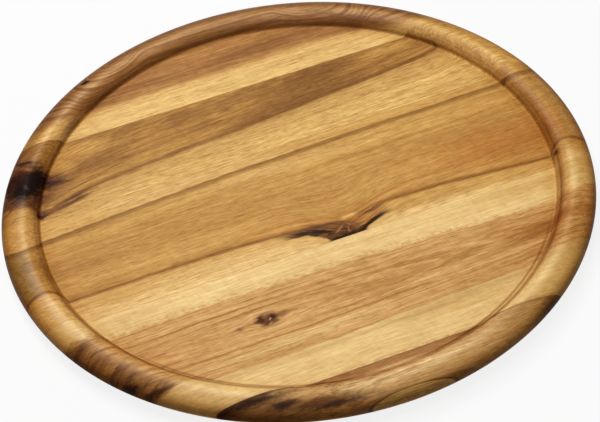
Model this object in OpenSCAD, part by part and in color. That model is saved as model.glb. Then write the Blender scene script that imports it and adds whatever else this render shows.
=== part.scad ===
// Round pizza serving board. Straight staves of acacia are glued edge to edge, and the
// blank is turned to one section: a sunk well inside a rounded rim. The staves run along X,
// the flat underside lies at Z = 0, and the board's axis is Z.

/* [Board] */
// Diameter over the rim
board_d = 320; // [280:2:400]
// Height from the underside to the crest of the rim
board_h = 15; // [13:0.5:24]
// Depth of the well's floor below the crest of the rim
well_depth = 6; // [4.5:0.25:8]

/* [Rim] */
// Width of the rim, from its steep inner foot out to the edge of the board
rim_w = 20.4; // [16:0.2:28]
// Width of the rim's steeper inner side, from its foot up to the crest
rim_inner_w = 8.6; // [7:0.2:12]
// Radius of the tight turn down each side of the rim, and in under the edge
turn_r = 4; // [2.5:0.25:5]
// Radius of the cove between the well's floor and the rim
cove_r = 1.5; // [0.75:0.25:3]
// Width of the round under the edge, from the flat underside out to the edge
under_w = 14; // [9:0.5:24]

/* [Staves] */
// Width of the sliver at the front edge, left of the last stave by the turning
front_sliver_w = 4; // [2.5:0.25:12]
// Width of the narrow stave at the front
front_edge_stave_w = 25.5; // [18:0.5:40]
// How far the joint between the two broad middle staves lies in front of the axis
middle_joint = 43.5; // [20:0.5:60]
// Width of the stave behind the centre one
rear_stave_w = 55; // [36:0.5:75]
// Width of the stave at the rear edge
rear_edge_stave_w = 67; // [45:0.5:80]

/* [Hidden] */
$fn = 360;

board_r = board_d / 2;
floor_t = board_h - well_depth;
rim_outer_w = rim_w - rim_inner_w;
crest_r = board_r - rim_outer_w;
flat_r = board_r - under_w;

// A turn is kept inside the height that it rounds
side_turn_r = min(turn_r, 0.85 * min(well_depth, floor_t));

// The cove's centre, where it touches both the floor and the inner turn of the rim
inner_turn_x = crest_r - rim_inner_w + side_turn_r;
cove_x = inner_turn_x - sqrt(side_turn_r * side_turn_r + 2 * side_turn_r * cove_r);

// How far the tools that cut the blank into staves stand past it
overcut = 5;

// Planes of the glue joints, from the front of the board to the rear. The outer staves
// are set off from the edges, and the two broad ones in the middle take what is left
sliver_joint_y = -board_r + front_sliver_w;
front_edge_joint_y = sliver_joint_y + front_edge_stave_w;
middle_joint_y = -middle_joint;
rear_edge_joint_y = board_r - rear_edge_stave_w;
rear_joint_y = rear_edge_joint_y - rear_stave_w;

// Radius of the flat arc that closes a round of width a and height b over a turn of radius r
function crown_r(a, b, r) = (a * a + b * b - 2 * a * r) / (2 * (b - r));

// One side of a flattened round: a tight turn at x = a that runs into a flat crown at x = 0
module half_round(a, b, r) {
    crown = crown_r(a, b, r);
    sink = crown - b;
    // Far end of the line through both arcs' centres, where the one runs into the other
    reach = 2 * crown / (crown - r);
    intersection() {
        square([a, b]);
        union() {
            translate([a - r, 0]) circle(r);
            intersection() {
                translate([0, -sink]) circle(crown);
                translate([0, -sink])
                    polygon([[0, 0], [reach * (a - r), reach * sink], [0, 2 * crown]]);
            }
        }
    }
}

// The little cove at the rim's inner foot
module cove() {
    difference() {
        polygon([[cove_x, floor_t], [inner_turn_x, floor_t], [cove_x, floor_t + cove_r]]);
        translate([cove_x, floor_t + cove_r]) circle(cove_r);
    }
}

// The turned section, from the axis out to the edge
module board_section() {
    square([flat_r, floor_t]);
    translate([flat_r, floor_t]) mirror([0, 1]) half_round(under_w, floor_t, side_turn_r);
    translate([crest_r, floor_t]) half_round(rim_outer_w, well_depth, side_turn_r);
    translate([crest_r, floor_t]) mirror([1, 0]) half_round(rim_inner_w, well_depth, side_turn_r);
    cove();
}

module turned_board() {
    rotate_extrude() board_section();
}

// The part of the turned board between two planes across Y
module stave(front_y, rear_y) {
    intersection() {
        turned_board();
        translate([-board_r - overcut, front_y, -overcut])
            cube([board_d + 2 * overcut, rear_y - front_y, board_h + 2 * overcut]);
    }
}

module front_sliver() {
    color("#dcbd7e") stave(-board_r - overcut, sliver_joint_y);
}

module front_edge_stave() {
    color("#94613a") stave(sliver_joint_y, front_edge_joint_y);
}

module front_stave() {
    color("#cb9850") stave(front_edge_joint_y, middle_joint_y);
}

module centre_stave() {
    color("#c9a05e") stave(middle_joint_y, rear_joint_y);
}

module rear_stave() {
    color("#a8733c") stave(rear_joint_y, rear_edge_joint_y);
}

module rear_edge_stave() {
    color("#c3935a") stave(rear_edge_joint_y, board_r + overcut);
}

rear_edge_stave();
rear_stave();
centre_stave();
front_stave();
front_edge_stave();
front_sliver();
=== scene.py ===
import bpy
from math import atan2, cos, pi, radians, sin, sqrt
from mathutils import Matrix, Vector


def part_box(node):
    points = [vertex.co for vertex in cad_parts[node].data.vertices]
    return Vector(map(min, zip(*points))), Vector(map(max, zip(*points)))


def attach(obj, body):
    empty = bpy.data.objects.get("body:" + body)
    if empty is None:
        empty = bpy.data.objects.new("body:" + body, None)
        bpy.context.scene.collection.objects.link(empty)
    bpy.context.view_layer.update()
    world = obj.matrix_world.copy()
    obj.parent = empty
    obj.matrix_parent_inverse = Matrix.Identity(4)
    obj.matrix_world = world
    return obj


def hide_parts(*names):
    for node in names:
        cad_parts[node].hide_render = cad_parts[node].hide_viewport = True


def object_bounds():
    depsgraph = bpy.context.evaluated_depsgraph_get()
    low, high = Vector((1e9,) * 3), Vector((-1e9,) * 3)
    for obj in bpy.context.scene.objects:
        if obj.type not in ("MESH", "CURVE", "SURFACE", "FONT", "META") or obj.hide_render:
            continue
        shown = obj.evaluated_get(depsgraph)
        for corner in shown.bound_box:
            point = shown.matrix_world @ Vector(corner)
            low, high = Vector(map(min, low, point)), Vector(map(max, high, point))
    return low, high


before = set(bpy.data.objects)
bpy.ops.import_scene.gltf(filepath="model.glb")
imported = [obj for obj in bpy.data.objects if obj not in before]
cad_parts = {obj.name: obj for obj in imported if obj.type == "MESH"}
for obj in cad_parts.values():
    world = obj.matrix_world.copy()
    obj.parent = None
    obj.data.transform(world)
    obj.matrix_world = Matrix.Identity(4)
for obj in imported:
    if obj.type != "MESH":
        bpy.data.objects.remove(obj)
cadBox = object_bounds()
print("frame loaded:", sorted(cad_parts))

millimetre = 0.001

# The staves from the rear edge of the board to the front, as the frame has them
staveNames = ["rear_edge_stave", "rear_stave", "centre_stave", "front_stave",
              "front_edge_stave", "front_sliver"]

# The section that the board is turned to, in metres
boardShape = {
    "rimWidth": 0.0204,      # steep inner foot of the rim to the edge
    "innerWidth": 0.0086,    # inner foot of the rim to its crest
    "wellDepth": 0.006,      # below the crest of the rim
    "turnRadius": 0.004,     # tight turn down each side of the rim and in under the edge
    "coveRadius": 0.0015,    # between the well's floor and the rim
    "underWidth": 0.014,     # round under the edge
    "sides": 384,            # steps once round the board
    "arcSteps": 9,           # steps in each arc of the section
    "creaseAngle": 40,       # degrees, past which an edge stays sharp
    "clearance": 0.000015,   # keeps the board inside the frame's own faceted outline
}


def deselectAll():
    bpy.ops.object.select_all(action="DESELECT")


def makeActive(piece):
    deselectAll()
    piece.select_set(True)
    bpy.context.view_layer.objects.active = piece


def flatRound(width, height, turn, steps):
    # one side of a flattened round, from its tight turn to its crown, as (out, up) pairs
    crown = (width ** 2 + height ** 2 - 2 * width * turn) / (2 * (height - turn))
    sink = crown - height
    change = atan2(sink, width - turn)
    side = [(width - turn + turn * cos(change * i / steps), turn * sin(change * i / steps))
            for i in range(steps)]
    top = [(crown * cos(a), crown * sin(a) - sink)
           for a in (change + (pi / 2 - change) * i / steps for i in range(steps + 1))]
    return side + top


def boardSection(shape, boardRadius, boardHeight):
    # rings of the turned board as (radius, height), from the underside over the rim to the floor
    steps = shape["arcSteps"]
    floor = boardHeight - shape["wellDepth"]
    turn = shape["turnRadius"]
    inner = shape["innerWidth"]
    outer = shape["rimWidth"] - inner
    flat = boardRadius - shape["underWidth"]
    crest = boardRadius - outer
    under = flatRound(shape["underWidth"], floor, turn, steps)
    over = flatRound(outer, shape["wellDepth"], turn, steps)
    back = flatRound(inner, shape["wellDepth"], turn, steps)
    rings = [(flat + out, floor - up) for out, up in reversed(under)]
    rings += [(crest + out, floor + up) for out, up in over[1:]]
    cove = shape["coveRadius"]
    turnX = crest - inner + turn
    coveX = turnX - sqrt(turn ** 2 + 2 * turn * cove)
    meet = floor + cove * turn / (turn + cove)     # where the cove runs into the rim's inner turn
    rings += [(crest - out, floor + up) for out, up in reversed(back[:-1]) if floor + up > meet]
    end = atan2(meet - floor - cove, turnX - (turnX - coveX) * turn / (turn + cove) - coveX)
    rings += [(coveX + cove * cos(a), floor + cove + cove * sin(a))
              for a in (end + (-pi / 2 - end) * i / steps for i in range(steps + 1))]
    rings.append((coveX - cove, floor))            # keeps the floor's shading flat
    return rings


def turnBoard(shape, boardRadius, boardHeight):
    # a disc the size of the flat underside, its face drawn up and out ring by ring
    rings = boardSection(shape, boardRadius, boardHeight)
    deselectAll()
    bpy.ops.mesh.primitive_circle_add(vertices=shape["sides"], radius=rings[0][0], fill_type="NGON",
                                      location=(0, 0, rings[0][1]))
    board = bpy.context.object
    board.name = "turned_board"
    bpy.ops.object.mode_set(mode="EDIT")
    bpy.ops.mesh.select_all(action="SELECT")
    for (radius, height), (nextRadius, nextHeight) in zip(rings, rings[1:]):
        grow = nextRadius / radius
        bpy.ops.mesh.extrude_region_move(
            TRANSFORM_OT_translate={"value": (0, 0, nextHeight - height)})
        bpy.ops.transform.resize(value=(grow, grow, 1), center_override=(0, 0, nextHeight))
    bpy.ops.mesh.select_all(action="SELECT")
    bpy.ops.mesh.normals_make_consistent(inside=False)
    bpy.ops.object.mode_set(mode="OBJECT")
    return board


def sawStave(board, name):
    # a copy of the turned board, cut square at the stave's own glue joints
    low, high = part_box(name)
    makeActive(board)
    bpy.ops.object.duplicate()
    piece = bpy.context.object
    piece.name = name + "_wood"
    piece.data.name = piece.name
    bpy.ops.object.mode_set(mode="EDIT")
    for y, inner in ((low.y, True), (high.y, False)):
        if abs(y) < boardRadius - millimetre:
            bpy.ops.mesh.select_all(action="SELECT")
            bpy.ops.mesh.bisect(plane_co=(0, y, 0), plane_no=(0, 1, 0), use_fill=True,
                                clear_inner=inner, clear_outer=not inner)
    bpy.ops.object.mode_set(mode="OBJECT")
    bpy.ops.object.shade_smooth_by_angle(angle=radians(boardShape["creaseAngle"]))
    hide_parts(name)
    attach(piece, "root")
    return piece


frameRadius = (cadBox[1].x - cadBox[0].x) / 2
boardRadius = frameRadius - boardShape["clearance"]
boardHeight = cadBox[1].z - cadBox[0].z
board = turnBoard(boardShape, boardRadius, boardHeight)
staves = {name: sawStave(board, name) for name in staveNames}
bpy.data.objects.remove(board)
print("staves turned and cut:", {name: len(piece.data.polygons) for name, piece in staves.items()})


class Wire:
    # wraps a socket, so that sums and products are written as such
    def __init__(self, shader, socket):
        self.shader = shader
        self.socket = socket

    def __add__(self, other):
        return self.shader.maths("ADD", self, other)

    def __radd__(self, other):
        return self.shader.maths("ADD", other, self)

    def __sub__(self, other):
        return self.shader.maths("SUBTRACT", self, other)

    def __rsub__(self, other):
        return self.shader.maths("SUBTRACT", other, self)

    def __mul__(self, other):
        return self.shader.maths("MULTIPLY", self, other)

    def __rmul__(self, other):
        return self.shader.maths("MULTIPLY", other, self)

    def __truediv__(self, other):
        return self.shader.maths("DIVIDE", self, other)

    def __rtruediv__(self, other):
        return self.shader.maths("DIVIDE", other, self)


class Shader:
    # the nodes of one material, or of the world
    def __init__(self, owner):
        owner.use_nodes = True
        self.tree = owner.node_tree
        self.tree.nodes.clear()

    def node(self, kind, settings={}, sockets={}):
        # settings come first; a socket takes a number, a colour, another socket or a Wire
        made = self.tree.nodes.new("ShaderNode" + kind)
        for key, value in settings.items():
            if key == "points":
                curve = made.mapping.curves[0]
                for point, place in zip(curve.points, value[:2]):
                    point.location = place
                for place in value[2:]:
                    curve.points.new(*place)
                made.mapping.update()
            else:
                setattr(made, key, value)
        for key, value in sockets.items():
            if isinstance(value, Wire):
                value = value.socket
            if isinstance(value, bpy.types.NodeSocket):
                self.tree.links.new(value, made.inputs[key])
            else:
                made.inputs[key].default_value = value
        return made

    def maths(self, operation, *values):
        made = self.node("Math", {"operation": operation}, dict(enumerate(values)))
        return Wire(self, made.outputs[0])

    def vector(self, x, y, z):
        return self.node("CombineXYZ", {}, {0: x, 1: y, 2: z}).outputs[0]

    def step(self, value, start, end):
        # 0 before start, 1 after end, smooth between them; start may be the higher
        made = self.node("MapRange", {"interpolation_type": "SMOOTHSTEP"},
                         {"Value": value, "From Min": start, "From Max": end})
        return Wire(self, made.outputs[0])

    def near(self, value, reach):
        # 1 where the value is 0, and 0 a reach away from it
        return self.step(self.maths("ABSOLUTE", value), reach, 0.0)

    def hill(self, value, reach):
        # a bell curve: 1 where the value is 0
        share = value / reach
        return self.maths("EXPONENT", share * share * -1.0)

    def noise(self, x, y, z, detail=2.0, rough=0.5):
        made = self.node("TexNoise", {}, {"Vector": self.vector(x, y, z), "Scale": 1.0,
                                          "Detail": detail, "Roughness": rough})
        return Wire(self, made.outputs[0])

    def band(self, across, detail=2.0, rough=0.5):
        # noise along one number, so it is the same all along the grain
        made = self.node("TexNoise", {"noise_dimensions": "1D"},
                         {"W": across, "Scale": 1.0, "Detail": detail, "Roughness": rough})
        return Wire(self, made.outputs[0])


# Places in the section, in millimetres, and how far the figure's lines run from the axis
footRadius = (frameRadius - boardShape["rimWidth"]) / millimetre
crestRadius = footRadius + boardShape["innerWidth"] / millimetre
floorHeight = (boardHeight - boardShape["wellDepth"]) / millimetre
lineReach = 170.0


class Wood(Shader):
    # the material of one stave, with its object coordinates in millimetres
    def __init__(self, stave, seed):
        self.material = bpy.data.materials.new(stave + "_acacia")
        super().__init__(self.material)
        self.seed = seed
        look = woodLook
        sides = [corner.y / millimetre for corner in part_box(stave)]
        self.joints = [side for side in sides if abs(side) < look["glueReach"]]
        place = self.node("TexCoord")
        scaled = self.node("VectorMath", {"operation": "SCALE"},
                           {0: place.outputs["Object"], "Scale": 1 / millimetre}).outputs[0]
        parts = self.node("SeparateXYZ", {}, {0: scaled})
        self.x, self.y, self.z = (Wire(self, socket) for socket in parts.outputs)
        facing = self.node("SeparateXYZ", {}, {0: place.outputs["Normal"]})
        self.facingX = Wire(self, facing.outputs[0])
        self.facingZ = Wire(self, facing.outputs[2])
        self.rise = self.z - floorHeight
        self.radius = self.maths("SQRT", self.x * self.x + self.y * self.y)
        self.fromFoot = self.radius - footRadius
        self.fromCrest = self.radius - crestRadius
        self.above = self.step(self.facingZ, -0.6, 0.0)    # 0 underneath, 1 on the sides and top
        # places that wander a little, for edges that are drawn by the grain
        wander = self.streaks(self.y, look["wanderLength"], look["wanderWidth"], 2.0, 0.6)
        wave = self.streaks(self.y + look["waveShift"], look["waveLength"], look["waveWidth"], 2.0)
        self.grit = self.streaks(self.y, look["gritLength"], look["gritWidth"], 3.0, 0.65)
        self.nearX = self.x + wander * look["wanderAlong"]
        self.nearY = self.y + wander * look["wanderAcross"] + wave * look["waveAcross"]
        self.nearPlace = self.vector(self.nearX, self.nearY, 0.0)
        self.ragged = self.grit * look["gritEdge"]
        self.edgeY = self.y + wander + wave
        self.flowY = self.y + wave * look["flowWave"] + wander * look["flowWander"]

    def streaks(self, across, length, width, detail, rough=0.5):
        # noise drawn out along the grain, from -0.5 to 0.5
        return self.noise(self.x / length + self.seed, across / width, self.z / width,
                          detail, rough) - 0.5

    def line(self, *points):
        # how high a smooth line through the points lies, from one end of the board to the other
        heights = [y for x, y in points]
        low = min(heights) - 1
        span = max(heights) + 1 - low
        places = [((x / lineReach + 1) / 2, (y - low) / span) for x, y in points]
        made = self.node("FloatCurve", {"points": places},
                         {"Value": (self.x + lineReach) / (2 * lineReach)})
        return Wire(self, made.outputs[0]) * span + low

    def blob(self, x, y, width, height, turn=0.0, soft=0.6):
        # 1 at the middle of a ragged oval and 0 outside it, in millimetres and degrees; soft is
        # the share of it that fades
        placed = self.node("Mapping", {"vector_type": "TEXTURE"},
                           {"Vector": self.nearPlace, "Location": (x, y, 0),
                            "Rotation": (0, 0, radians(turn)), "Scale": (width, height, 1)})
        far = self.node("VectorMath", {"operation": "LENGTH"}, {0: placed.outputs[0]})
        return self.step(Wire(self, far.outputs["Value"]) + self.ragged, 1.0, 1.0 - soft)

    def mix(self, factor, first, second):
        made = self.node("Mix", {"data_type": "RGBA"}, {0: factor, 6: first, 7: second})
        return made.outputs[2]

    def times(self, colour, shades):
        made = self.node("VectorMath", {"operation": "MULTIPLY"}, {0: colour, 1: shades})
        return made.outputs[0]

    def layers(self, colour, *coats):
        # each coat is a mask and the colour that it brings
        for mask, coat in coats:
            colour = self.mix(mask, colour, coat)
        return colour

    def tone(self, colour, amount):
        # deepens a colour as wood deepens, the green sooner than the red and the blue soonest
        red = self.maths("MAXIMUM", amount, woodLook["darkest"])
        green = self.maths("POWER", red, woodLook["greenDepth"])
        blue = self.maths("POWER", red, woodLook["blueDepth"])
        return self.times(colour, self.vector(red, green, blue))

    def tint(self, factor, colour, stain):
        # the colour under a clear stain, where the factor is 1
        return self.mix(factor, colour, self.times(colour, stain))


def paint(red, green, blue):
    # a colour as it looks on a screen, 0 to 255, made linear
    linear = [((v / 255 + 0.055) / 1.055) ** 2.4 for v in (red, green, blue)]
    return (*linear, 1.0)


# What all the staves share; lengths and widths are in millimetres, along and across the grain
woodLook = {
    "wanderLength": 7.0,             # how the edges of the figure wander
    "wanderWidth": 3.0,
    "wanderAlong": 6.0,
    "wanderAcross": 1.8,
    "waveLength": 30.0,
    "waveWidth": 10.0,
    "waveShift": 77.0,
    "waveAcross": 2.4,
    "flowWave": 2.6,                 # how the grain itself does
    "flowWander": 0.35,
    "gritLength": 3.4,
    "gritWidth": 1.9,
    "gritEdge": 0.7,
    "streakLength": 80.0,
    "streakWidth": 3.2,
    "streakTone": 0.34,
    "fibreLength": 30.0,
    "fibreWidth": 1.2,
    "fibreTone": 0.62,
    "fibreRough": 0.2,
    "fibreHeight": 0.5,              # heights are shares of the bump
    "fineLength": 8.0,
    "fineWidth": 0.7,
    "fineTone": 0.75,
    "fineHeight": 0.35,
    "poreLength": 5.0,
    "poreWidth": 0.5,
    "poreStart": 0.58,               # where in the noise a pore begins, and is at its darkest
    "poreFull": 0.74,
    "poreTone": 0.7,
    "poreStain": (0.66, 0.54, 0.42),
    "poreRough": 0.12,
    "poreDepth": 0.8,
    "cloudLength": 22.0,
    "cloudWidth": 7.0,
    "cloudTone": 0.16,
    "curlLength": 1.9,               # faint bars across the grain
    "curlWidth": 7.0,
    "curlDepth": 9.0,
    "curlSlant": 0.1,
    "curlTone": 0.16,
    "curlHeight": 0.2,
    "mottleLength": 6.0,             # and broader ones, where the grain waves
    "mottleWidth": 15.0,
    "mottleSlant": 0.04,
    "mottleTone": 0.12,
    "latheWidth": 0.7,               # rings that the turning tool left at the rim's foot
    "latheTone": 0.32,
    "latheHeight": 1.2,
    "glueWidth": 0.45,               # dark hairlines of the glue joints
    "glueTone": 0.35,
    "glueStain": (0.5, 0.38, 0.28),
    "glueReach": 150.0,              # the joint of the sliver lies past it and shows none
    "endStain": (0.86, 0.77, 0.66),  # end grain drinks more of the oil
    "endRough": 0.05,
    "figureRough": 0.4,              # knots and burl are rougher, and take less of the coat
    "figureHeight": 5.0,
    "figureDull": 0.8,
    "darkest": 0.05,
    "greenDepth": 1.3,
    "blueDepth": 1.75,
    "roughness": 0.42,
    "gloss": 0.05,
    "polish": 0.14,                  # the rim is finished brighter than the well
    "polishRoughness": 0.24,
    "bump": 0.05,
}

# Painted shade on the rim and round its foot, with its tints and how much of them each part takes,
# and a painted highlight along the front of the foot
rimShadeLook = {
    "shadeTint": (0.71, 0.56, 0.34),       # painted shade: the tint where the rim is shaded
    "flank": 0.75,                   # on the outer side, past the crest
    "steep": 0.15,                   # where the surface leans, and more of it outside
    "steepOutside": 0.25,
    "slope": 0.22,                   # on the inner side, and more of it at both ends
    "slopeLeft": 0.35,
    "slopeRight": 0.6,
    "floorEdge": 0.22,               # in the well towards the rim, and close to its foot
    "brim": 0.42,
    "footShadeTint": (0.38, 0.25, 0.15),   # painted shade: the tint along the inner foot
    "footLine": 0.42,
    "footLineFront": 0.46,
    "corner": 0.95,                  # painted shade in the foot's corner at the front right
    "floorLine": 0.3,                # thin painted shadow line in front of the foot
    "floorLineSides": 0.45,
    "sideLine": 0.15,
    "footGleam": paint(236, 198, 142),    # painted highlight: a pale line along the foot at the front
    "footGleamShare": 0.5,
    "edgeShadeTint": (0.48, 0.42, 0.36),   # painted shade round the outer edge, reaching further in on the far rim
    "edge": 0.85,
}


def paintRimShade(wood, colour):
    # painted shade on the rim's sides, along its foot and round the edge, the well darker towards
    # the foot, and a painted highlight along the foot at the front; its places are millimetres out
    # from the foot and the crest, and across and along the board
    x, y, look = wood.x, wood.y, rimShadeLook
    fromFoot, fromCrest, above = wood.fromFoot, wood.fromCrest, wood.above
    aside = wood.maths("ABSOLUTE", x)
    behind = wood.step(y, 60, 105)
    ahead = wood.step(y, 40, -60)
    farAhead = wood.step(y, -60, -105)
    tilt = wood.maths("SQRT", 1.0 - wood.facingZ * wood.facingZ)
    outside = wood.step(fromCrest, -2.2, 2.8)
    flank = (wood.step(fromCrest, -0.9, 4.1) * look["flank"]
             + wood.step(tilt, 0.1, 0.7) * (outside * look["steepOutside"] + look["steep"]))
    sides = wood.step(x, -60, -130) * look["slopeLeft"] + wood.step(x, 60, 130) * look["slopeRight"]
    slope = (wood.step(fromCrest, 0, -3.2) * wood.step(fromFoot, 2.2, 3.9)
             * (sides + look["slope"]))
    brim = (wood.step(fromFoot, -44.6, -14.6) * (1.0 - behind) * look["floorEdge"]
            + wood.step(fromFoot, -10.6, -0.1) * look["brim"])
    brim = brim * wood.step(fromFoot, 1.4, 0.0) * (1.0 - wood.step(y, -85, -120) * 0.5)
    # painted shade on the outer flank, the leaning sides and the inner slope, and the well darker
    # towards the foot
    rimShade = wood.maths("MINIMUM", (flank + slope + brim) * above, 1.0)
    colour = wood.tint(rimShade, colour, look["shadeTint"])
    # painted shade and thin painted shadow lines along the inner foot
    footLine = (wood.near(fromFoot - 1.5 - ahead * 0.6, 2.7)
                * (ahead * look["footLineFront"] + look["footLine"])
                * (1.0 - wood.step(y, -128, -138) * 0.6))
    corner = wood.hill(x - 44, 15) * wood.near(fromFoot - 0.6, 3.6) * farAhead * look["corner"]
    floorLine = (wood.near(fromFoot + 1.8, 1.3) * farAhead
                 * (wood.step(aside, 8, 30) * look["floorLineSides"] + look["floorLine"]))
    sideLine = wood.near(fromFoot - 2.1, 1.1) * wood.step(aside, 88, 118) * look["sideLine"]
    footShade = wood.maths("MINIMUM", (footLine + corner + floorLine + sideLine) * above, 1.0)
    colour = wood.tint(footShade, colour, look["footShadeTint"])
    # painted highlight: a pale line along the foot at the front
    footGleam = wood.near(fromFoot + 0.3, 0.9) * wood.step(y, -90, -120) * wood.step(x, 28, 12)
    colour = wood.mix(footGleam * above * look["footGleamShare"], colour, look["footGleam"])
    # painted shade round the outer edge, and further in on the far rim
    edge = wood.maths("MAXIMUM", wood.step(fromCrest, 5.8, 11.8),
                      wood.step(fromCrest, 0.8, 6.8) * behind)
    return wood.tint(edge * above * look["edge"], colour, look["edgeShadeTint"])


def finishWood(wood, colour, grain, figure=0.0, coarse=1.0):
    # fibres, pores, end grain and the rim's painted shade over a stave's own colours, then the
    # satin surface
    x, y, z, seed, look = wood.x, wood.y, wood.z, wood.seed, woodLook
    streak = wood.streaks(grain, look["streakLength"], look["streakWidth"], 2.0)
    fibre = wood.streaks(grain, look["fibreLength"], look["fibreWidth"], 3.0, 0.65)
    fine = wood.streaks(grain, look["fineLength"], look["fineWidth"], 1.0)
    cloud = wood.noise(x / look["cloudLength"], grain / look["cloudWidth"] + seed,
                       z / look["cloudWidth"], 1.0) - 0.5
    curl = wood.noise(x / look["curlLength"] + grain * look["curlSlant"],
                      grain / look["curlWidth"] + seed, z / look["curlDepth"], 1.0) - 0.5
    mottle = wood.noise(x / look["mottleLength"] + grain * look["mottleSlant"],
                        grain / look["mottleWidth"] + seed, z / look["mottleWidth"], 1.0) - 0.5
    dash = wood.noise(x / look["poreLength"], grain / look["poreWidth"] + seed,
                      z / look["poreWidth"], 1.0)
    pore = wood.step(dash, look["poreStart"], look["poreFull"]) * (1.0 - figure)
    turned = wood.band(wood.radius / look["latheWidth"], 1.0) - 0.5
    lathe = turned * wood.near(wood.fromFoot - 0.9, 5.0)
    fibrous = fibre * look["fibreTone"] + fine * look["fineTone"]
    shade = (1.0 + streak * look["streakTone"] + fibrous * coarse + cloud * look["cloudTone"]
             + curl * look["curlTone"] + mottle * look["mottleTone"] + lathe * look["latheTone"])
    colour = wood.tone(colour, shade)
    colour = wood.tint(pore * coarse * look["poreTone"], colour, look["poreStain"])
    for joint in wood.joints:
        glue = wood.near(y - joint, look["glueWidth"]) * look["glueTone"]
        colour = wood.tint(glue, colour, look["glueStain"])
    endGrain = wood.step(wood.maths("ABSOLUTE", wood.facingX), 0.12, 0.8)
    # then the rim's painted shade and painted highlight
    colour = paintRimShade(wood, wood.tint(endGrain, colour, look["endStain"]))
    roughness = (look["roughness"] + fibre * look["fibreRough"] + pore * look["poreRough"]
                 + endGrain * look["endRough"] + figure * look["figureRough"])
    height = (fibre * look["fibreHeight"] + fine * look["fineHeight"] - pore * look["poreDepth"]
              + curl * look["curlHeight"] + lathe * look["latheHeight"]
              + figure * wood.grit * look["figureHeight"])
    bump = wood.node("Bump", {}, {"Strength": 1.0, "Distance": look["bump"] * millimetre,
                                  "Height": height})
    coat = (wood.step(wood.fromFoot, 1.4, 6.4) * wood.above
            * (1.0 - figure * look["figureDull"]) * look["polish"])
    surface = wood.node("BsdfPrincipled", {},
                        {"Base Color": colour, "Roughness": roughness,
                         "Specular IOR Level": look["gloss"], "Coat Weight": coat,
                         "Coat Roughness": look["polishRoughness"], "Normal": bump.outputs[0]})
    wood.node("OutputMaterial", {}, {"Surface": surface.outputs[0]})
    return wood.material


def dress(name, material):
    staves[name].data.materials.clear()
    staves[name].data.materials.append(material)


# Rear edge stave: a pale band at its joint, then brown wood in narrow rings over the far rim
rearEdgeLook = {
    "seed": 11.0,
    "ringWidth": 3.6,
    "sap": paint(226, 184, 114),
    "gold": paint(208, 160, 94),
    "heart": paint(176, 124, 70),
    # painted highlight: a paler colour for the heartwood from the far rim's crest outwards
    "rim": paint(200, 156, 108),
    "dark": paint(136, 88, 45),
    "speck": paint(44, 22, 12),
}


def rearEdgeWood(look):
    wood = Wood("rear_edge_stave", look["seed"])
    edge = wood.line((-170, 100), (-120, 104), (-100, 107), (-60, 110.5), (0, 111.5), (50, 112),
                     (85, 109), (100, 102), (112, 101.5), (118, 103), (170, 108))
    inside = wood.nearY - edge + wood.rise * 0.3
    grain = wood.flowY + wood.rise * 1.4
    eyes = wood.line((-170, -4), (-130, -6), (-97, -4), (-68, 12), (-36, -1), (0, -2), (36, -1),
                     (66, 13), (95, -4), (130, -6), (170, -4))
    bent = grain + eyes * wood.step(wood.rise, 0.3, 5.5)
    rings = wood.band(bent / look["ringWidth"] + 3.1, 2.0, 0.55)
    broad = wood.noise(wood.x / 60, wood.y / 9 + 2.0, wood.z / 9, 2.0)
    onRim = wood.step(wood.rise, 0.5, 3.0)
    heart = wood.step(inside, 0, 5)
    colour = wood.layers(
        look["sap"],
        (wood.step(inside, -6.0, 2.0), look["gold"]),
        (wood.step(inside, -1.5, 4.5), look["heart"]),
        (wood.step(inside, 1, 5) * wood.step(inside, 18, 10) * wood.step(broad, 0.35, 0.6) * 0.7,
         look["dark"]),
        # painted highlight: heartwood paler from the far rim's crest outwards
        (wood.step(wood.radius, 143, 149) * heart * 0.7, look["rim"]),
        (wood.step(rings, 0.46, 0.64) * heart * (0.3 + onRim * 0.4), look["dark"]),
        (wood.step(rings, 0.46, 0.30) * heart * wood.step(broad, 0.3, 0.7) * (0.3 + onRim * 0.25),
         look["gold"]),
        (wood.blob(8, 147, 30, 4.0, 0, 0.9) * onRim * 0.2, look["dark"]),
        (wood.blob(28, 122.5, 60, 6.5, 0, 0.9) * 0.8, look["dark"]),
        (wood.blob(60, 104, 60, 5, 0, 0.9) * 0.5, look["gold"]),
        # painted shade: heartwood darker down the far rim's inner side
        (onRim * heart * wood.step(wood.radius, 146, 141) * 0.5, look["dark"]),
        (wood.blob(78, 120, 36, 3.0, -39, 0.9) * 0.7, look["dark"]),
        (wood.blob(-95, 104, 18, 3.0, 44, 0.9) * 0.6, look["dark"]),
        (wood.blob(-78.5, 132, 5.0, 3.0, 15, 0.9) * 0.6, look["dark"]),
        (wood.blob(-78.5, 132, 3.4, 1.8, 15, 0.6), look["speck"]),
    )
    return finishWood(wood, colour, grain)


# Rear stave: brown wood over a pale front, and the large dark knot where it meets the left rim
rearLook = {
    "seed": 23.0,
    "ringWidth": 4.6,
    "pale": paint(221, 177, 105),
    "tan": paint(196, 150, 84),
    "heart": paint(178, 128, 66),
    "dark": paint(134, 89, 43),
    "gold": paint(202, 153, 80),
    "line": paint(116, 72, 36),
    "purple": paint(106, 63, 36),
    "red": paint(94, 54, 34),
    "amber": paint(156, 100, 64),
    "stain": paint(60, 32, 20),
    "knot": paint(28, 15, 10),
    # painted highlight: a grey sheen on the black knot
    "knotSheen": paint(88, 78, 74),
}


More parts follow.
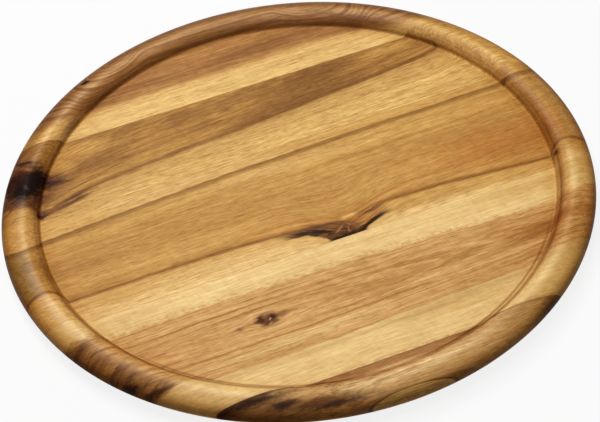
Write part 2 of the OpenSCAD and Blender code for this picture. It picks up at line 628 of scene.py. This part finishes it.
def rearWood(look):
    wood = Wood("rear_stave", look["seed"])
    edge = wood.line((-170, 38), (-150, 39.5), (-134, 40), (-120, 45.5), (-100, 51.5), (-80, 54.5),
                     (-50, 57), (0, 61), (50, 66), (80, 69), (112, 74), (124, 81), (133, 91),
                     (170, 96))
    inside = wood.edgeY - edge - wood.rise * 1.3
    slope = wood.line((-170, 36), (-120, 46), (-80, 54.5), (0, 61), (80, 68), (170, 76))
    grain = wood.flowY - (slope - 60.0) * wood.step(wood.y, 28, 80) - wood.rise * 1.3
    rings = wood.band(grain / look["ringWidth"] + 1.7, 2.0, 0.55)
    cloud = wood.noise(wood.x / 34 + 4.0, grain / 9, wood.z / 9, 2.0)
    paleEnd = wood.step(wood.radius, 139.8, 142.0) * wood.step(wood.x, 60, 90)
    heart = wood.step(inside, -0.9, 0.9) * (1.0 - paleEnd)
    body = wood.layers(
        look["heart"],
        (wood.step(cloud, 0.42, 0.62) * 0.55, look["dark"]),
        (wood.step(rings, 0.45, 0.65) * 0.4, look["dark"]),
        (wood.step(inside, 1.5, 4) * wood.step(inside, 13, 7) * wood.step(wood.x, 0, -50) * 0.55,
         look["gold"]),
        (wood.blob(42, 84, 40, 15, 6, 0.8), look["dark"]),
        (wood.blob(50, 88, 24, 7, 4, 0.9) * 0.2, look["line"]),
        (wood.blob(26, 69, 56, 7.5, 6, 0.8) * 0.85, look["dark"]),
        (wood.blob(92, 88, 26, 7, 0, 0.8) * 0.7, look["gold"]),
        (wood.blob(-95, 84, 30, 10, 0, 0.9) * 0.85, look["gold"]),
        (wood.blob(-110, 76, 11, 7, -20, 0.8) * 0.8, look["gold"]),
        (wood.blob(-12, 79, 8, 3, 5, 0.9) * 0.6, look["dark"]),
        (wood.blob(2, 70, 22, 5, 5, 0.9) * 0.5, look["dark"]),
    )
    colour = wood.layers(
        wood.mix(wood.step(inside, -20, -1), look["pale"], look["tan"]),
        (heart, body),
        (paleEnd * wood.step(wood.y, 62, 80) * 0.85, look["pale"]),
        (wood.near(inside - 1.0, 3.0) * wood.step(wood.x, -142, -132) * (1.0 - paleEnd) * 0.6,
         look["line"]),
        (wood.near(inside - 5.5, 1.2) * wood.step(wood.x, 40, 70) * (1.0 - paleEnd) * 0.4,
         look["line"]),
        (wood.blob(110, 42, 44, 5, 0, 0.9) * 0.5, look["tan"]),
        (wood.blob(-118, 55, 15, 8, 22, 0.9) * 0.4, look["line"]),
        (wood.blob(-106, 56.5, 24, 1.1, 15, 0.9) * 0.6, look["line"]),
        (wood.blob(-92, 61.5, 32, 0.9, 9, 0.9) * 0.5, look["line"]),
        (wood.blob(-128, 53, 9, 9, 30, 0.9) * 0.5, look["purple"]),
        (wood.blob(-114, 45.4, 21, 2.5, 15, 0.8) * 0.95, look["purple"]),
        (wood.blob(-112, 49.0, 21, 1.7, 14, 0.9) * 0.95, look["purple"]),
        (wood.blob(-131.5, 43.4, 7, 4.4, 30, 0.8) * 0.9, look["purple"]),
        (wood.blob(-132, 41.0, 5, 2.2, 20, 0.8), look["stain"]),
        (wood.blob(-120, 65.5, 14, 9.5, -6, 0.8) * 0.9, look["purple"]),
        (wood.blob(-115.5, 63.6, 10, 2.8, -4, 0.7) * 0.7, look["stain"]),
        (wood.blob(-121, 65.5, 7, 8.0, -30, 0.9) * 0.8, look["stain"]),
        (wood.blob(-124, 57.0, 6, 5.0, 20, 0.9) * 0.7, look["purple"]),
        (wood.blob(-141, 52.0, 15, 7.5, -12, 0.8), look["red"]),
        (wood.blob(-133, 50.0, 5, 10, -30, 0.9) * 0.9, look["red"]),
        (wood.blob(-137, 84, 17, 6.0, 35, 0.9) * 0.7, look["red"]),
        (wood.blob(-134, 72.5, 16, 11, 38, 0.8), look["red"]),
        (wood.blob(-138, 72.5, 6, 4.5, 20, 0.9) * 0.8, look["purple"]),
        (wood.blob(-130, 80.8, 12, 2.6, -22, 0.9), look["stain"]),
        (wood.blob(-135, 66.0, 17, 11, 22, 0.7) * 0.95, look["stain"]),
        (wood.blob(-139.0, 68.5, 8, 7.0, 30, 0.9) * 0.8, look["knot"]),
        (wood.blob(-136.0, 59.5, 14, 9.5, 8, 0.6), look["knot"]),
        (wood.blob(-128.0, 66.5, 13, 7.0, 50, 0.6), look["knot"]),
        (wood.blob(-143, 66.0, 6, 8.5, -30, 0.9), look["stain"]),
        (wood.blob(-130.5, 75.5, 7.0, 2.6, -40, 0.9) * 0.9, look["amber"]),
        (wood.blob(-147, 50.5, 7, 2.4, -60, 0.9) * 0.6, look["stain"]),
        (wood.blob(-144, 60.0, 4, 4.5, 10, 0.9) * 0.7, look["stain"]),
        # painted highlight: a grey sheen on the black knot
        (wood.blob(-134.5, 61.5, 2.2, 3.2, 20, 0.9) * 0.5, look["knotSheen"]),
    )
    knot = wood.blob(-133, 66, 15, 13, 30, 0.3)
    return finishWood(wood, colour, grain, knot, 1.25)


# Centre stave: honey wood between two pale edges, and half of a knot cut off by the front joint
centreLook = {
    "seed": 37.0,
    "ringWidth": 5.2,
    "sap": paint(232, 190, 122),
    "cream": paint(246, 210, 152),
    "honey": paint(207, 158, 86),
    "heart": paint(184, 134, 68),
    "orange": paint(182, 118, 54),
    "line": paint(118, 72, 32),
    "olive": paint(150, 126, 78),    # its left end, out on the rim
    "khaki": paint(202, 166, 108),   # and its right end
    "brown": paint(126, 80, 42),
    "amber": paint(184, 122, 60),
    "light": paint(222, 170, 94),
    "ridge": paint(164, 108, 66),
    "stain": paint(80, 48, 30),
    "knot": paint(46, 27, 18),
}


def centreWood(look):
    wood = Wood("centre_stave", look["seed"])
    dip = wood.hill(wood.x - 17, 24) * wood.step(wood.y, 12, -22) * 7.5
    grain = wood.flowY + dip - wood.x * 0.02 + wood.rise * 0.6
    top = wood.line((-170, 21.5), (-138, 22.5), (-100, 24.8), (-60, 27.3), (0, 29.8), (60, 31),
                    (137, 31.7), (170, 32))
    low = wood.line((-170, -26), (-138, -26), (-60, -26.3), (-22, -28), (5, -31), (17, -31.5),
                    (30, -29), (40, -28.2), (60, -28.6), (90, -31.2), (136, -36), (170, -40))
    above = wood.edgeY - top + wood.rise * 0.9 * wood.step(wood.x, 60, -60) + wood.rise * 0.35
    below = low - wood.edgeY + wood.rise
    heart = wood.step(below, 0.8, -0.8) * wood.step(above, 0.6, -0.6)
    rings = wood.band(grain / look["ringWidth"] + 5.3, 2.0, 0.5)
    cloud = wood.noise(wood.x / 55 + 9.0, grain / 10, wood.z / 10, 2.0)
    body = wood.layers(
        look["honey"],
        (wood.near(grain - 2, 17) * 0.6, look["heart"]),
        (wood.step(rings, 0.45, 0.65) * 0.6, look["heart"]),
        (wood.step(rings, 0.48, 0.62) * wood.blob(0, -17, 52, 12, 0, 0.9) * 0.8, look["orange"]),
        (wood.step(cloud, 0.45, 0.65) * 0.4, look["heart"]),
        (wood.blob(-125, -2, 62, 12, 0, 0.9) * 0.9, look["heart"]),
        (wood.blob(-4, -13, 34, 8, -6, 0.9) * 0.6, look["heart"]),
        (wood.blob(5, 8, 50, 10, 0, 0.9) * 0.6, look["honey"]),
        (wood.blob(-62, 5, 40, 9, 0, 0.9) * 0.4, look["heart"]),
        (wood.blob(118, -14, 75, 26, -4, 0.95) * 0.9, look["orange"]),
        (wood.step(wood.radius, 142, 150) * 0.3, look["heart"]),
        (wood.step(wood.radius, 145, 152) * wood.step(wood.x, 0, -60) * 0.6, look["olive"]),
        (wood.blob(-149, 2, 10, 7, 0, 0.9) * 0.35, look["brown"]),
        (wood.step(wood.radius, 149, 154) * wood.step(wood.x, 60, 120) * 0.6, look["khaki"]),
        (wood.near(grain + 19, 5) * wood.step(wood.x, -50, 0) * 0.3, look["orange"]),
    )
    fleck = wood.noise(wood.x / 2.2, wood.y / 1.5, wood.z / 1.5, 2.0, 0.6)
    curlLeft = wood.band((wood.y + wood.x * 0.55 + wood.grit * 1.5) / 1.3 + 2.2, 1.0)
    curlRight = wood.band((wood.y - wood.x * 0.4 + wood.grit * 1.5) / 1.3 + 4.1, 1.0)
    under = wood.line((-170, -20), (-45, -27), (-22, -32.0), (-10, -33.4), (-4, -36.5), (1, -40.5),
                      (5, -44.5), (13, -46), (21, -44.5), (26, -40.8), (32, -38.4), (42, -36),
                      (60, -28), (170, -22))
    hull = wood.nearY - under + wood.grit * 1.6
    knotted = (wood.step(hull, -0.6, 1.4) * wood.step(below, -1.6, 0.6) * wood.step(wood.x, 45, 30)
               * wood.step(wood.x, -26, -10))
    rightSide = wood.step(wood.x, 13, 21)
    core = wood.blob(13, -39.5, 15, 7.5, 0, 0.8)
    rim = (wood.near(hull - 1.6, 2.8) * wood.step(wood.x, -22, -8) * wood.step(wood.x, 43, 33)
           * wood.step(below, -1.5, 1.0) * (1.0 - wood.hill(wood.x - 0.5, 4) * 0.75))
    colour = wood.layers(
        look["sap"],
        (wood.step(above, 7, 0) * 0.12, look["honey"]),
        (wood.blob(-60, 33.5, 72, 5.0, 1, 0.9) * 0.9, look["cream"]),
        (wood.blob(84, 35.5, 86, 4.5, 0, 0.9) * 0.8, look["cream"]),
        (wood.step(below, 13, 6) * wood.step(wood.x, -20, 60) * 0.9, look["honey"]),
        (wood.step(below, 10, 3) * 0.7, look["honey"]),
        (wood.blob(64, -36, 34, 5, -4, 0.9) * 0.45, look["heart"]),
        (wood.blob(-112, -32, 34, 7, 0, 0.9) * 0.8, look["honey"]),
        (heart, body),
        (wood.blob(0, 22, 90, 6, 1, 0.9) * 0.35, look["sap"]),
        (wood.blob(-2, -27.6, 13, 2.0, -10, 0.9) * 0.6, look["line"]),
        (wood.near(above + 1.4, 3.0) * 0.55, look["line"]),
        (wood.near(above, 1.1) * 0.65, look["line"]),
        (wood.near(below + 1.6, 4.0) * 0.55, look["orange"]),
        (wood.near(below + 0.6, 2.2) * 0.7, look["line"]),
        (wood.blob(-36, -4, 5, 1.2, 0, 0.8) * 0.5, look["line"]),
        (wood.blob(-2, -41, 12, 5, -40, 0.9) * 0.5, look["honey"]),
        (knotted * 0.9, wood.mix(rightSide, look["brown"], look["amber"])),
        (knotted * wood.step(curlLeft, 0.46, 0.62) * (1.0 - rightSide) * 0.75, look["stain"]),
        (knotted * wood.step(curlRight, 0.48, 0.64) * rightSide * 0.75, look["brown"]),
        (core * 0.9, look["stain"]),
        (core * wood.step(fleck, 0.48, 0.62) * 0.8, look["brown"]),
        (wood.blob(10.2, -37.0, 6.0, 1.1, 38, 0.9) * 0.9, look["ridge"]),
        (wood.blob(17.4, -36.0, 4.6, 1.1, -40, 0.9) * 0.9, look["ridge"]),
        (wood.blob(14.6, -39.5, 1.0, 4.0, 0, 0.9) * 0.7, look["ridge"]),
        (wood.blob(17.5, -29.4, 7.0, 2.8, 0, 0.9) * 0.9, look["light"]),
        (wood.blob(-12, -32.4, 11, 1.3, -3, 0.9) * 0.8, look["brown"]),
        (wood.blob(0, -29.6, 13, 2.0, -8, 0.9) * 0.7, look["stain"]),
        (wood.blob(31, -30.6, 12, 2.0, 10, 0.9) * 0.7, look["stain"]),
        (wood.blob(12, -43.4, 15, 2.8, 0, 0.8), look["knot"]),
        (rim, look["knot"]),
        (wood.blob(-1.5, -34.0, 9, 3.4, -24, 0.8), look["knot"]),
        (wood.blob(4.5, -37.5, 5, 2.2, -40, 0.9) * 0.8, look["knot"]),
        (wood.blob(29, -38.6, 9, 1.7, 24, 0.9) * 0.8, look["knot"]),
        (wood.blob(22.5, -40.8, 4, 2.2, 30, 0.9) * 0.8, look["knot"]),
        (wood.blob(136.5, -37.0, 4.5, 3.0, 20, 0.9) * 0.8, look["stain"]),
        (wood.blob(137.5, 29.5, 3.0, 2.4, 30, 0.9) * 0.6, look["stain"]),
    )
    knot = wood.blob(14, -38, 24, 8, 0, 0.5)
    return finishWood(wood, colour, grain, knot)


# Front stave: rings drawn out round a small knot, between pale edges
frontLook = {
    "seed": 51.0,
    "ringWidth": 2.1,
    "sap": paint(235, 198, 132),
    "gold": paint(214, 168, 94),
    "mottle": paint(196, 150, 90),
    "heart": paint(213, 163, 100),
    "ring": paint(176, 122, 64),
    "orange": paint(172, 114, 56),
    "dark": paint(116, 72, 38),
    "black": paint(58, 32, 16),
    "umber": paint(138, 92, 56),
    "knot": paint(88, 52, 34),
    "speck": paint(204, 164, 134),
}


def frontWood(look):
    wood = Wood("front_stave", look["seed"])
    y = wood.nearY
    along = (wood.x + 47) * 0.085
    ringAt = wood.maths("SQRT", (y + 81) * (y + 81) + along * along)
    fade = wood.noise(wood.x / 45 + 1.0, wood.y / 7, wood.z / 7, 2.0)
    rings = wood.band(ringAt / look["ringWidth"] + 9.3, 2.0, 0.5)
    jag = wood.noise(wood.x / 4.5, wood.y / 2.2 + 3.0, wood.z / 2.2, 3.0, 0.65)
    upper = wood.line((-170, -61), (-120, -58), (-40, -58.5), (40, -61), (90, -64.5), (130, -66),
                      (170, -67))
    lower = wood.line((-170, -110), (-112, -109.5), (-100, -106.5), (-40, -107), (40, -104.5),
                      (100, -102), (170, -97))
    down = upper - wood.y + (jag - 0.5) * 7
    up = y - lower
    heart = wood.step(down, -1.5, 3.0) * wood.step(up, -1.8, 1.2)
    arcs = wood.step(wood.x, -40, 30) * wood.step(fade, 0.25, 0.5)
    leftEnd = wood.step(wood.x, -90, -112)
    spokes = wood.band((wood.x * 0.57 - wood.y * 0.82 + wood.grit * 2.5) / 6.5 + 0.7, 3.0, 0.6)
    body = wood.layers(
        look["heart"],
        (wood.step(rings, 0.48, 0.66) * wood.step(fade, 0.32, 0.58) * 0.85, look["ring"]),
        (wood.step(rings, 0.46, 0.30) * wood.step(fade, 0.62, 0.38) * 0.3, look["sap"]),
        (wood.near(ringAt - 9.9, 0.9) * arcs * 0.7, look["ring"]),
        (wood.near(ringAt - 8.6, 0.6) * arcs * 0.6, look["ring"]),
        (wood.near(ringAt - 7.2, 0.7) * arcs * 0.5, look["ring"]),
        (wood.near(ringAt - 11.6, 0.8) * arcs * 0.5, look["ring"]),
        (wood.near(ringAt - 13.2, 0.6) * arcs * 0.4, look["ring"]),
        (wood.blob(15, -82.5, 38, 6.5, 0, 0.8) * 0.75, look["ring"]),
        (wood.blob(112, -82.5, 42, 8.5, 0, 0.8) * 0.95, look["orange"]),
        (wood.blob(90, -97, 60, 6, 5, 0.9) * 0.5, look["ring"]),
        (wood.blob(100, -72, 60, 6, -4, 0.9) * 0.4, look["orange"]),
        (wood.blob(-95, -74, 40, 7, 2, 0.9) * 0.2, look["ring"]),
        (wood.blob(-40, -99, 80, 5.5, 1, 0.9) * 0.5, look["sap"]),
        (wood.step(wood.radius, 143, 155) * leftEnd * (wood.step(spokes, 0.38, 0.62) * 0.33 + 0.56),
         look["dark"]),
        (wood.step(wood.radius, 148, 158) * leftEnd * wood.step(spokes, 0.5, 0.7) * 0.5,
         look["black"]),
        (wood.blob(-145, -78, 9, 9, 30, 0.9) * 0.5, look["black"]),
        (wood.blob(-127, -97.5, 12, 3.6, -22, 0.9), look["black"]),
        (wood.blob(-115, -106.5, 14, 3.0, -6, 0.9) * 0.9, look["black"]),
    )
    ashore = wood.near(upper - wood.y - 0.5, 5.5) * wood.step(jag, 0.42, 0.66)
    colour = wood.layers(
        look["sap"],
        (wood.blob(112, -50, 70, 11, 0, 0.9) * 0.6, look["gold"]),
        (wood.blob(50, -113, 44, 7, 0, 0.9) * 0.5, look["gold"]),
        (wood.near(wood.fromFoot, 1.6) * wood.step(wood.y, -95, -110) * 0.5, look["heart"]),
        (heart, body),
        (wood.near(up + 4.0, 5.5) * wood.step(wood.x, -20, 60) * 0.4, look["mottle"]),
        (wood.near(up + 3.0, 4.5) * 0.3, look["mottle"]),
        (ashore * wood.step(wood.x, 130, 60) * 0.6, look["mottle"]),
        (wood.near(up, 1.3) * 0.45, look["ring"]),
        (wood.near(wood.y + 130, 1.8) * wood.step(jag, 0.4, 0.6) * 0.45, look["ring"]),
        (wood.near(y + 93.5, 1.4) * wood.step(wood.x, -70, -20) * 0.4, look["ring"]),
        (wood.blob(-55, -72.8, 13, 1.5, -2, 0.9) * 0.7, look["ring"]),
        (wood.blob(-15, -75.0, 34, 2.4, -2, 0.9) * 0.7, look["ring"]),
        (wood.blob(-36, -79.7, 10, 1.6, -2, 0.9) * 0.7, look["orange"]),
        (wood.blob(-58, -80.5, 8, 1.6, 0, 0.9) * 0.7, look["orange"]),
        (wood.blob(-62.8, -81.5, 4.4, 1.7, 0, 0.9) * 0.85, look["dark"]),
        (wood.blob(-47, -80.8, 11, 7.6, 0, 0.9) * 0.6, look["umber"]),
        (wood.blob(-39.5, -80.4, 6, 2.8, 0, 0.9) * 0.8, look["umber"]),
        (wood.blob(-47.4, -81.0, 8.6, 6.4, 0, 0.8) * 0.95, look["umber"]),
        (wood.blob(-47.4, -81.2, 7.0, 5.2, 0, 0.9) * 0.6, look["knot"]),
        (wood.blob(-50.7, -79.8, 3.8, 5.0, 14, 0.9) * 0.9, look["knot"]),
        (wood.blob(-44.2, -80.4, 3.6, 4.6, -10, 0.9), look["knot"]),
        (wood.blob(-47.6, -83.2, 4.4, 2.0, 0, 0.9) * 0.7, look["knot"]),
        (wood.blob(-50.6, -79.6, 2.0, 3.4, 12, 0.9) * 0.65, look["black"]),
        (wood.blob(-44.2, -80.4, 2.2, 3.2, -8, 0.9) * 0.7, look["black"]),
        (wood.blob(-45.4, -80.9, 1.2, 1.2, 0, 0.9) * 0.9, look["speck"]),
        (wood.blob(-46.4, -84.0, 1.5, 1.0, 0, 0.9) * 0.6, look["speck"]),
    )
    burl = heart * wood.step(wood.radius, 143, 150) * wood.step(wood.x, -90, -108)
    knot = wood.blob(-47.2, -80.8, 8.0, 6.0, 0, 0.5) + burl * 0.7
    fromKnot = wood.y + 80.6
    bend = fromKnot * wood.hill(wood.x + 47, 10) * wood.near(fromKnot, 16) * 0.5
    grain = wood.flowY - bend
    return finishWood(wood, colour, grain, knot, 0.6 + heart * 0.4)


# Front edge stave: brown figured wood, mostly in the near rim
frontEdgeLook = {
    "seed": 67.0,
    "ringWidth": 3.0,
    "tan": paint(230, 192, 134),
    "brown": paint(198, 154, 98),
    "orange": paint(166, 110, 58),
    "dark": paint(108, 68, 36),
    "black": paint(58, 33, 16),
}


def frontEdgeWood(look):
    wood = Wood("front_edge_stave", look["seed"])
    y = wood.nearY
    grain = y + wood.rise * 1.2
    rings = wood.band(grain / look["ringWidth"] + 2.3, 2.0, 0.55)
    curls = wood.noise(wood.x / 10 + 2.0, wood.y / 2.4, wood.z / 2.4, 3.0, 0.65)
    inWell = wood.step(wood.radius, 138.6, 137.4) * wood.step(wood.z, 7, 8.5)
    lines = wood.band(wood.nearX / 4.6 + 3.3, 2.0, 0.6)
    arcs = wood.band(wood.radius / 0.9 + 1.3, 2.0)
    colour = wood.layers(
        look["brown"],
        (wood.blob(2, -148, 64, 10, 0, 0.7), look["tan"]),
        (wood.blob(48, -145, 34, 8, 8, 0.9) * 0.8, look["tan"]),
        (wood.step(wood.radius, 144, 142) * (1.0 - inWell) * wood.step(lines, 0.42, 0.6) * 0.7,
         look["orange"]),
        (inWell * 0.85, look["orange"]),
        (inWell * wood.near(wood.y + 136.2, 1.8) * wood.hill(wood.x, 18) * 0.7, look["tan"]),
        (inWell * wood.step(arcs, 0.46, 0.62) * 0.4, look["brown"]),
        (wood.step(rings, 0.46, 0.68) * 0.35, look["orange"]),
        (wood.step(curls, 0.50, 0.66) * wood.step(wood.x, 0, -40) * 0.7, look["dark"]),
        (wood.step(curls, 0.48, 0.62) * wood.step(wood.x, 50, -20)
         * wood.step(wood.radius, 142, 148) * 0.35, look["orange"]),
        (wood.step(wood.x, -30, -70) * wood.step(wood.radius, 148, 156) * 0.6, look["dark"]),
        (wood.blob(-76, -133.5, 34, 4.4, -6, 0.9), look["black"]),
        (wood.near(wood.y + 131.4, 1.8) * wood.step(wood.x, -52, -70) * 0.9, look["black"]),
        (wood.blob(88, -135.0, 22, 6.0, 26, 0.9) * 0.95, look["dark"]),
        (wood.blob(86, -138.0, 16, 2.6, 32, 0.9) * 0.9, look["black"]),
        (wood.blob(-61, -141, 13, 4.2, -8, 0.9), look["dark"]),
        (wood.blob(-61, -141.2, 10, 3.0, -8, 0.9), look["black"]),
        (wood.blob(-46, -147, 19, 3.6, -14, 0.9) * 0.9, look["dark"]),
        (wood.blob(-38, -149.5, 28, 5.0, -9, 0.9) * 0.95, look["dark"]),
        (wood.blob(-38, -151.2, 17, 2.4, -9, 0.9) * 0.9, look["black"]),
        (wood.blob(-52, -146.6, 12, 1.8, -16, 0.9) * 0.3, look["black"]),
        (wood.near(wood.y + 156, 0.7) * wood.near(wood.x, 14) * 0.8, look["dark"]),
        (wood.blob(-26, -143, 6, 1.2, 0, 0.9) * 0.5, look["dark"]),
        (wood.near(y + 131, 1.2) * 0.3, look["dark"]),
    )
    return finishWood(wood, colour, grain, wood.step(wood.x, -15, -35))


# Front sliver: all that the turning left of the last stave
sliverLook = {
    "seed": 83.0,
    "ringWidth": 2.0,
    "pale": paint(230, 196, 132),
    "deep": paint(200, 160, 98),
    "brown": paint(176, 132, 82),
    "line": paint(96, 62, 36),
}


def sliverWood(look):
    wood = Wood("front_sliver", look["seed"])
    rings = wood.band(wood.nearY / look["ringWidth"], 2.0, 0.5)
    inside = wood.x * wood.x / -205.0 - 155.8 - wood.y      # under a flat arch
    arch = wood.step(inside, -0.3, 0.4)
    colour = wood.layers(
        look["brown"],
        (arch, look["pale"]),
        (arch * wood.step(rings, 0.45, 0.65) * 0.8, look["deep"]),
        (wood.near(inside, 0.7) * 0.8, look["line"]),
    )
    return finishWood(wood, colour, wood.nearY)


dress("rear_edge_stave", rearEdgeWood(rearEdgeLook))
dress("rear_stave", rearWood(rearLook))
dress("centre_stave", centreWood(centreLook))
dress("front_stave", frontWood(frontLook))
dress("front_edge_stave", frontEdgeWood(frontEdgeLook))
dress("front_sliver", sliverWood(sliverLook))
print("woods finished")


# A plain pale floor, a white backdrop and two soft lamps
studio = {
    "white": (1.0, 1.0, 1.0, 1.0),
    "floorSize": 6.0,
    "floorColour": (0.75, 0.75, 0.75, 1.0),
    "floorWhite": 0.85,       # share of plain white that the camera sees in the floor
    "backdropWhite": 1.0,
    "gleamShare": 0.15,       # share of it in the satin wood's reflections
    "worldLight": 0.08,
    "topPlace": (-0.15, 0.0, 1.7),
    "topSize": 0.8,
    "topPower": 12.5,
    "rearPlace": (-0.15, 0.95, 1.4),
    "rearSize": 0.8,
    "rearPower": 20.0,
}


def seenShare(shader, setup, share):
    # how much of the plain white a ray sees: from the camera, in a reflection or through glass
    ray = shader.node("LightPath").outputs
    gleam = Wire(shader, ray["Is Glossy Ray"]) * setup["gleamShare"]
    seen = shader.maths("MAXIMUM", ray["Is Camera Ray"], gleam)
    return shader.maths("MAXIMUM", seen, ray["Is Transmission Ray"]) * share


def makeFloor(setup):
    deselectAll()
    bpy.ops.mesh.primitive_plane_add(size=setup["floorSize"], location=(0, 0, 0))
    floor = bpy.context.object
    floor.name = "studio_floor"
    material = bpy.data.materials.new("pale_floor")
    shader = Shader(material)
    plain = shader.node("BsdfDiffuse", {}, {"Color": setup["floorColour"]})
    white = shader.node("Emission")
    blend = shader.node("MixShader", {}, {0: seenShare(shader, setup, setup["floorWhite"]),
                                          1: plain.outputs[0], 2: white.outputs[0]})
    shader.node("OutputMaterial", {}, {"Surface": blend.outputs[0]})
    floor.data.materials.append(material)


def makeWorld(setup):
    world = bpy.data.worlds.new("studio")
    bpy.context.scene.world = world
    shader = Shader(world)
    light = shader.node("Background", {},
                        {"Color": setup["white"], "Strength": setup["worldLight"]})
    white = shader.node("Background", {}, {"Color": setup["white"]})
    blend = shader.node("MixShader", {}, {0: seenShare(shader, setup, setup["backdropWhite"]),
                                          1: light.outputs[0], 2: white.outputs[0]})
    shader.node("OutputWorld", {}, {"Surface": blend.outputs[0]})


def makeLamp(name, place, size, power):
    deselectAll()
    bpy.ops.object.light_add(type="AREA", location=place)
    lamp = bpy.context.object
    lamp.name = name
    lamp.data.size = size
    lamp.data.energy = power
    lamp.rotation_mode = "QUATERNION"
    lamp.rotation_quaternion = Vector(place).to_track_quat("Z", "Y")


makeFloor(studio)
makeWorld(studio)
makeLamp("overhead_softbox", studio["topPlace"], studio["topSize"], studio["topPower"])
makeLamp("rear_softbox", studio["rearPlace"], studio["rearSize"], studio["rearPower"])

# The camera stands where the photograph was taken from, a little turned on its own axis
cameraSetup = {
    "azimuth": -16.96,
    "elevation": 44.29,
    "roll": -6.152,
    "distance": 1.0774,
    "target": (-0.003885, -0.014996, 0.009),
    "lens": 121.08,
    "sensorWidth": 36.0,
}


def makeCamera(setup):
    deselectAll()
    around, up = radians(setup["azimuth"]), radians(setup["elevation"])
    back = Vector((sin(around) * cos(up), -cos(around) * cos(up), sin(up)))
    bpy.ops.object.camera_add(location=Vector(setup["target"]) + back * setup["distance"])
    camera = bpy.context.object
    camera.data.lens = setup["lens"]
    camera.data.sensor_width = setup["sensorWidth"]
    level = back.to_track_quat("Z", "Y")
    roll = Matrix.Rotation(radians(setup["roll"]), 3, "Z").to_quaternion()
    camera.rotation_mode = "QUATERNION"
    camera.rotation_quaternion = level @ roll
    bpy.context.scene.camera = camera


makeCamera(cameraSetup)
bpy.context.scene.view_settings.view_transform = "Standard"
print("studio set")
